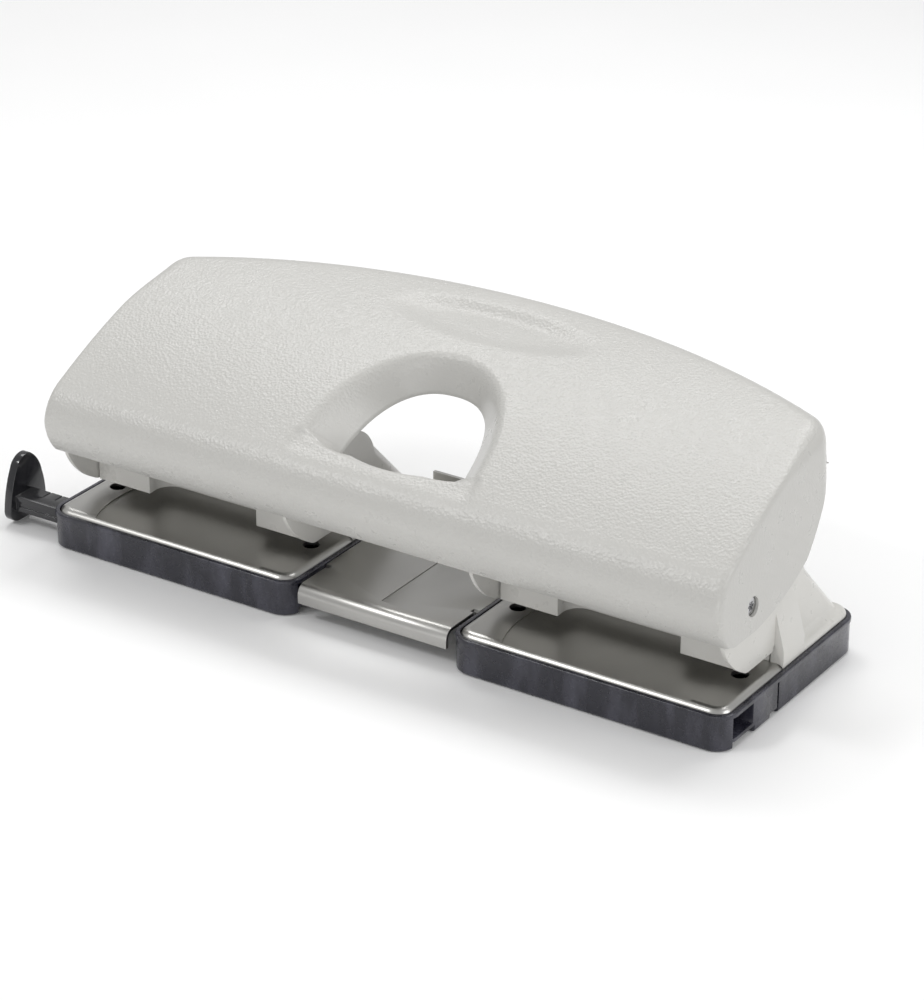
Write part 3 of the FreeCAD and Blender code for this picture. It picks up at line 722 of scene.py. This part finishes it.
def cover_sheet():
    """All patches of the cover, as one list of points with their grain, and the faces."""
    sheet = Sheet()
    middle = face_s(GRIP_Y)
    frame_low, frame_high = middle + GRIP_FRAME_S[0], middle + GRIP_FRAME_S[1]
    low_rows = spaced(START_S, frame_low, LOW_STEP)
    grip_rows = spaced(frame_low, frame_high, FINE_STEP)
    high_rows = frame_high + steps_from_edge(face_s(REAR_Y) - frame_high, NEAR_REAR, REAR_STEP)
    rows = np.concatenate([low_rows[:-1], grip_rows[:-1], high_rows])
    columns = spaced(-GRIP_FRAME_X, GRIP_FRAME_X, FINE_STEP)
    right_face = side_patch(sheet, rows, 1)
    left_face = side_patch(sheet, rows, -1)
    middle_patch(sheet, low_rows, columns)
    middle_patch(sheet, high_rows, columns)
    rear_x = np.concatenate([left_face[-1, :-1, 0], columns, right_face[-1, 1:, 0]])
    face_count = sheet.count
    skirt(sheet, right_face, left_face, rear_x)
    outline_count = sheet.count
    grip_patch(sheet, grip_rows, columns, middle)
    points = np.concatenate(sheet.points)
    points[:outline_count] = on_cover(points[:outline_count])
    points[:face_count] = pressed_in(points[:face_count])
    points[outline_count:] = pressed_in(points[outline_count:])
    return points, np.concatenate(sheet.grain), np.concatenate(sheet.faces)


def cover_surface():
    """The cover's outer surface as one closed-up mesh that faces outward."""
    points, grain, faces = cover_sheet()
    mesh = bpy.data.meshes.new("cover")
    mesh.from_pydata((points * MM + np.array(BASE)).tolist(), [], faces.tolist())
    layer = mesh.attributes.new("grain", "FLOAT", "POINT")
    layer.data.foreach_set("value", grain.astype(np.float32))
    form = bmesh.new()
    form.from_mesh(mesh)
    bmesh.ops.remove_doubles(form, verts=form.verts, dist=PATCH_WELD * MM)
    bmesh.ops.dissolve_degenerate(form, edges=form.edges, dist=SHORTEST_EDGE * MM)
    bmesh.ops.recalc_face_normals(form, faces=form.faces)
    top = max(form.faces, key=lambda face: face.calc_center_median().z)
    if top.normal.z < 0:
        bmesh.ops.reverse_faces(form, faces=form.faces)
    form.to_mesh(mesh)
    form.free()
    return mesh


def cover():
    """The pressed sheet cover with its thickness, its grip opening and its pivot holes."""
    rough = bpy.data.objects.new("cover_rough", cover_surface())
    bpy.context.scene.collection.objects.link(rough)
    thick = rough.modifiers.new("sheet", "SOLIDIFY")
    thick.thickness = COVER_SHEET * MM
    thick.offset = -1.0
    thick.use_even_offset = False
    drill = pivot_drill()
    hole = rough.modifiers.new("pivot_holes", "BOOLEAN")
    hole.operation = "DIFFERENCE"
    hole.solver = "EXACT"
    hole.object = drill
    final = finished_mesh(rough)
    for used in (rough, drill):
        bpy.data.objects.remove(used)
    smooth_by_angle(final, 40.0)
    piece = add_object("cover", final, "handle", "handle_paint")
    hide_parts("handle_shell")


def pivot_drill():
    """Two short rods where the pivot holes go."""
    radius = PIVOT_HOLE_R * MM
    turn = Matrix.Rotation(math.radians(90), 4, "Y")
    form = bmesh.new()
    for side in (-1, 1):
        spot = Vector((side * DRILL_X, PIVOT_Y, PIVOT_Z)) * MM + BASE
        bmesh.ops.create_cone(form, cap_ends=True, segments=48, radius1=radius, radius2=radius,
                              depth=DRILL_LENGTH * MM, matrix=Matrix.Translation(spot) @ turn)
    mesh = bpy.data.meshes.new("drill")
    form.to_mesh(mesh)
    form.free()
    made = bpy.data.objects.new("drill", mesh)
    bpy.context.scene.collection.objects.link(made)
    return made


# ---- springs -----------------------------------------------------------------------
SPRING_TURNS, SPRING_WIRE = 6.5, 0.4      # the wire is given by its radius
SPRING_SIDES, SPRING_STEPS = 10, 36
END_RISE = 0.09                           # share of the height taken up by each closed end turn


def spring(number):
    """Return spring with closed end turns, riding on the base."""
    node = "return_spring_%d" % number
    low, high = (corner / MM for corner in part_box(node))
    centre = (low + high) / 2
    radius = (high.x - low.x) / 2 - SPRING_WIRE
    bottom, top = low.z + SPRING_WIRE, high.z - SPRING_WIRE
    count = int(SPRING_TURNS * SPRING_STEPS)
    share = np.linspace(0, 1, count)
    angle = share * SPRING_TURNS * 2 * math.pi
    flat = 1.0 / SPRING_TURNS
    height = np.interp(share, (0, flat, 1 - flat, 1), (0, END_RISE, 1 - END_RISE, 1))
    outward = np.stack([np.cos(angle), np.sin(angle), 0 * angle], -1)
    upward = np.array([0.0, 0.0, 1.0])
    middle = np.array([centre.x, centre.y, bottom]) + radius * outward
    middle += (top - bottom) * height[:, None] * upward
    around = np.linspace(0, 2 * math.pi, SPRING_SIDES, endpoint=False)[None, :, None]
    ring = np.cos(around) * outward[:, None] + np.sin(around) * upward
    points = middle[:, None] + SPRING_WIRE * ring
    index = np.arange(count * SPRING_SIDES).reshape(count, SPRING_SIDES)
    after = np.roll(index, -1, axis=1)
    quads = np.stack([index[:-1], after[:-1], after[1:], index[1:]], -1).reshape(-1, 4).tolist()
    caps = [index[0, ::-1].tolist(), index[-1].tolist()]
    mesh = bpy.data.meshes.new(node)
    mesh.from_pydata((points.reshape(-1, 3) * MM).tolist(), [], quads + caps)
    smooth_by_angle(mesh, 60.0)
    piece = add_object("spring_%d" % number, mesh, "base", "spring_steel")
    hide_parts(node)
    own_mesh(piece)


# ---- floor, light, camera -------------------------------------------------------------
FLOOR_HALF, FLOOR_GAP = 3.0, 0.0002       # metres
LIGHT_AIM = Vector((0.0, 0.0, 0.05))
WORLD_STRENGTH = 0.54
CAMERA_AT = Vector((0.57103, -0.85455, 0.53061))
CAMERA_AZIMUTH, CAMERA_ELEVATION = 33.38, 25.80
SENSOR, LENS = 36.0, 127.85


def toward(azimuth, elevation):
    """Direction from the punch. Azimuth 0 is in front, on the paper side, and 90 is on the right."""
    a, e = math.radians(azimuth), math.radians(elevation)
    return Vector((math.sin(a) * math.cos(e), -math.cos(a) * math.cos(e), math.sin(e)))


def stage_floor():
    """A wide floor just under the punch, which is not part of the model."""
    form = bmesh.new()
    bmesh.ops.create_grid(form, x_segments=8, y_segments=8, size=FLOOR_HALF)
    mesh = bpy.data.meshes.new("floor")
    form.to_mesh(mesh)
    form.free()
    mesh.materials.append(floor_paint())
    floor = bpy.data.objects.new("floor", mesh)
    floor.location.z = cad_low.z - FLOOR_GAP
    bpy.context.scene.collection.objects.link(floor)


def area_light(name, azimuth, elevation, distance, size, power):
    """Soft box aimed at the punch."""
    data = bpy.data.lights.new(name, "AREA")
    data.shape = "RECTANGLE"
    data.size, data.size_y = size
    data.energy = power
    lamp = bpy.data.objects.new(name, data)
    back = toward(azimuth, elevation)
    lamp.location = BASE + LIGHT_AIM + back * distance
    lamp.rotation_mode = "QUATERNION"
    lamp.rotation_quaternion = back.to_track_quat("Z", "Y")
    bpy.context.scene.collection.objects.link(lamp)


def studio():
    """White surroundings and five soft boxes, shown without a film look."""
    world = bpy.data.worlds.new("studio")
    bpy.context.scene.world = world
    world.use_nodes = True
    background = world.node_tree.nodes["Background"]
    background.inputs["Color"].default_value = (1.0, 1.0, 1.0, 1.0)
    background.inputs["Strength"].default_value = WORLD_STRENGTH
    area_light("back_left_box", -124.0, 54.0, 1.2, (0.4, 0.4), 2.4)
    area_light("rear_top_box", 172.0, 62.0, 0.8, (0.5, 0.25), 2.2)
    area_light("front_left_strip", -40.0, 45.0, 1.2, (0.35, 0.07), 2.8)
    area_light("front_box", 24.0, 7.0, 1.4, (1.2, 0.4), 3.4)
    area_light("right_box", 96.0, 30.0, 1.2, (0.6, 0.5), 3.0)
    bpy.context.scene.view_settings.view_transform = "Standard"


def camera():
    """Camera at the photo's angle, fitted to the edges of the base in perspective."""
    data = bpy.data.cameras.new("camera")
    data.sensor_width = SENSOR
    data.lens = LENS
    made = bpy.data.objects.new("camera", data)
    right = toward(CAMERA_AZIMUTH + 90.0, 0.0)
    back = toward(CAMERA_AZIMUTH, CAMERA_ELEVATION)
    turn = Matrix((right, back.cross(right), back)).transposed()
    made.matrix_world = Matrix.Translation(BASE + CAMERA_AT) @ turn.to_4x4()
    bpy.context.scene.collection.objects.link(made)
    bpy.context.scene.camera = made


# ---- everything together --------------------------------------------------------------
camera()
studio()
stage_floor()
for node, shape in frame["nodes"].items():
    shape.data.materials.clear()
    shape.data.materials.append(MATERIALS[SLOT_OF[node]])
cover()
for side in UNITS:
    softened(side + "_chassis", 0.3)
    softened(side + "_punch_carrier", 0.25)
    softened(side + "_chip_tray", 0.25)
    softened(side + "_tray_door", 0.25)
    softened(side + "_lever", 0.25)
softened("bridge_plate", 0.2)
softened("paper_guide", 0.45, 3)
for number in range(1, 5):
    spring(number)
